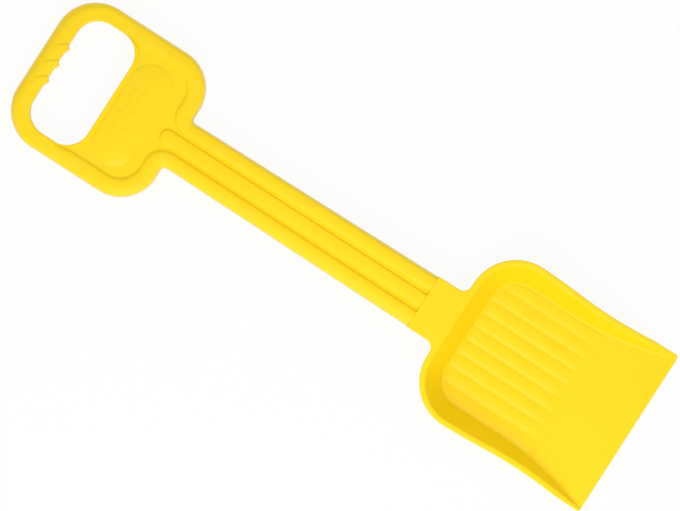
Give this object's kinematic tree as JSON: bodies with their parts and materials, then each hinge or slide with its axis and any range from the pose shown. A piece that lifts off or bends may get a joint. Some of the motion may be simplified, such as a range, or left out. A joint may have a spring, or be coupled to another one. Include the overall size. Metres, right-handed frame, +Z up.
{
  "type": "sand shovel",
  "caption": "Child's plastic sand shovel with a D-shaped grip, a ridged shaft and a straight-edged, reeded scoop whose socket neck takes the handle.",
  "frame": {"origin": "below the middle of the shovel's length and width, on the surface that it lies on", "axes": "+X along the shovel from the grip to the scoop's edge, +Y across it, +Z up out of the scoop"},
  "size_m": [0.5, 0.1338, 0.025],
  "materials": {
    "scoop_plastic": "satin injection-moulded, sunny yellow",
    "handle_plastic": "satin injection-moulded, sunny yellow",
    "pin_plastic": "satin injection-moulded, sunny yellow"
  },
  "bodies": {
    "root": {"scoop": "scoop_plastic", "handle": "handle_plastic", "lock_pins": "pin_plastic"}
  },
  "joints": []
}
